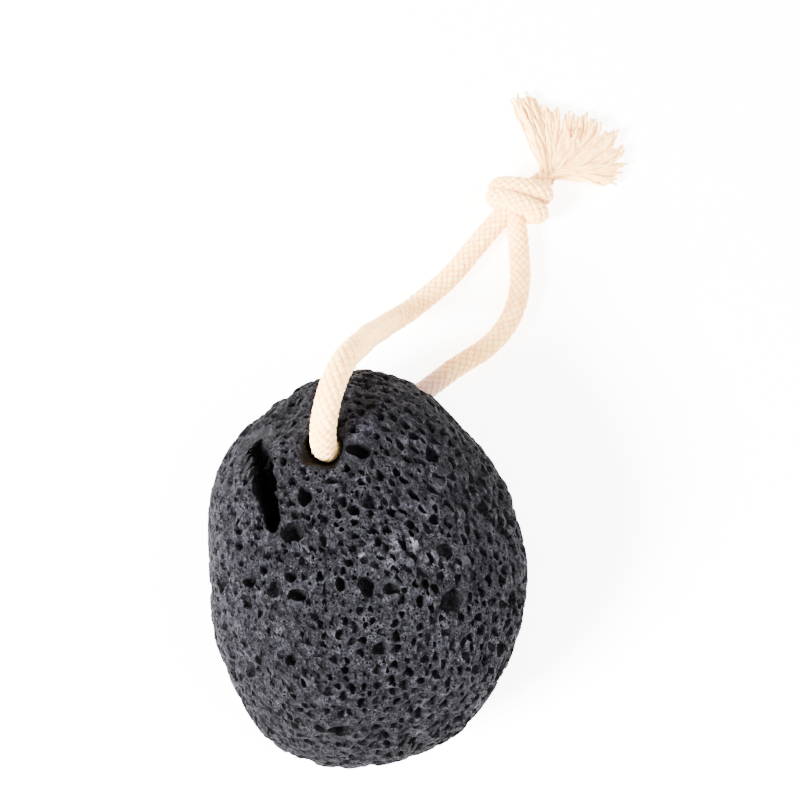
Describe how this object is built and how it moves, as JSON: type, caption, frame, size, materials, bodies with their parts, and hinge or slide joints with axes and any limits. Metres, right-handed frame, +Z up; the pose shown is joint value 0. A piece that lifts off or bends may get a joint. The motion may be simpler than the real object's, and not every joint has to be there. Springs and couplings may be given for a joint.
{
  "type": "pumice stone on a cord",
  "caption": "Rounded lava pumice stone for rubbing feet, full of bubble pits, hung on a knotted loop of braided cotton cord with frayed ends.",
  "frame": {"origin": "centre of the stone's bounding box in plan, on the surface that the stone lies on", "axes": "+Z up through the stone's thickness, +Y along its length towards the drilled end, +X across it"},
  "size_m": [0.0975, 0.1611, 0.0533],
  "materials": {
    "lava": "rough, open-pored, dry",
    "cotton_cord": "matt braided cotton"
  },
  "bodies": {
    "root": {"pumice_stone": "lava", "cord_front_leg": "cotton_cord", "cord_back_leg": "cotton_cord", "cord_knot": "cotton_cord", "cord_frayed_ends": "cotton_cord"}
  },
  "joints": []
}
